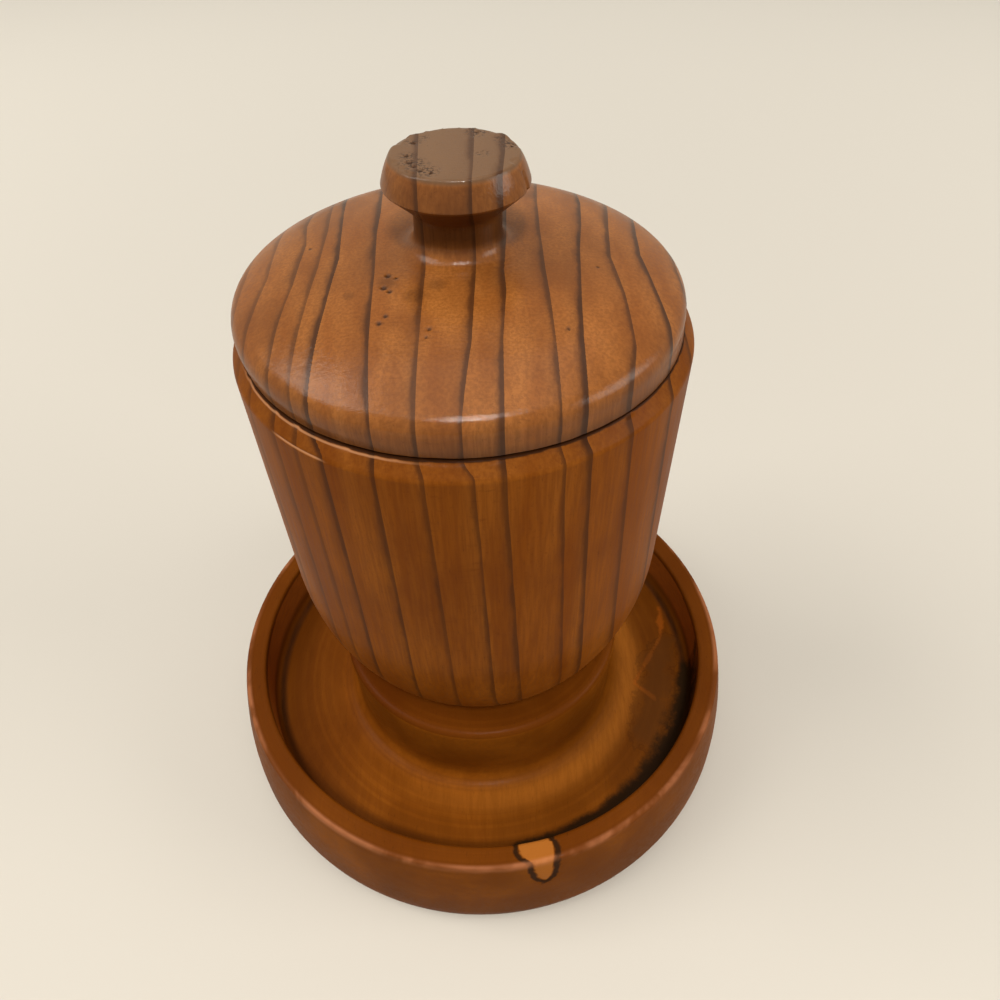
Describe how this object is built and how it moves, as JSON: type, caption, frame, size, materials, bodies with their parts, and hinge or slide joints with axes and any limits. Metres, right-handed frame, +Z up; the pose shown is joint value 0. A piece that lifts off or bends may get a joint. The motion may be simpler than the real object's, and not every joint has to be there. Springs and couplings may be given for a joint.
{
  "type": "turned wooden canister",
  "caption": "Turned wooden jar with a lift-off domed lid and knob, standing on a dish base with a raised rim and a pedestal.",
  "frame": {"origin": "centre of the underside of the dish base, on the surface it stands on", "axes": "+Z up along the turning axis; the jar's growth-ring stripes lie in planes of constant X, and the picture looks along +Y"},
  "size_m": [0.1568, 0.1568, 0.1866],
  "materials": {
    "jar_wood": "glossy varnish on striped softwood",
    "dish_wood": "glossy varnish on plain wood with dark smears",
    "screw_steel": "plain steel"
  },
  "bodies": {
    "jar": {"base_dish": "dish_wood", "jar_body": "jar_wood", "fixing_screw": "screw_steel"},
    "lid": {"lid": "jar_wood"}
  },
  "joints": [
    {"name": "lid_lift", "type": "slide", "parent": "jar", "child": "lid", "axis": [0, 0, 1], "range_m": [0, 0.08]}
  ]
}
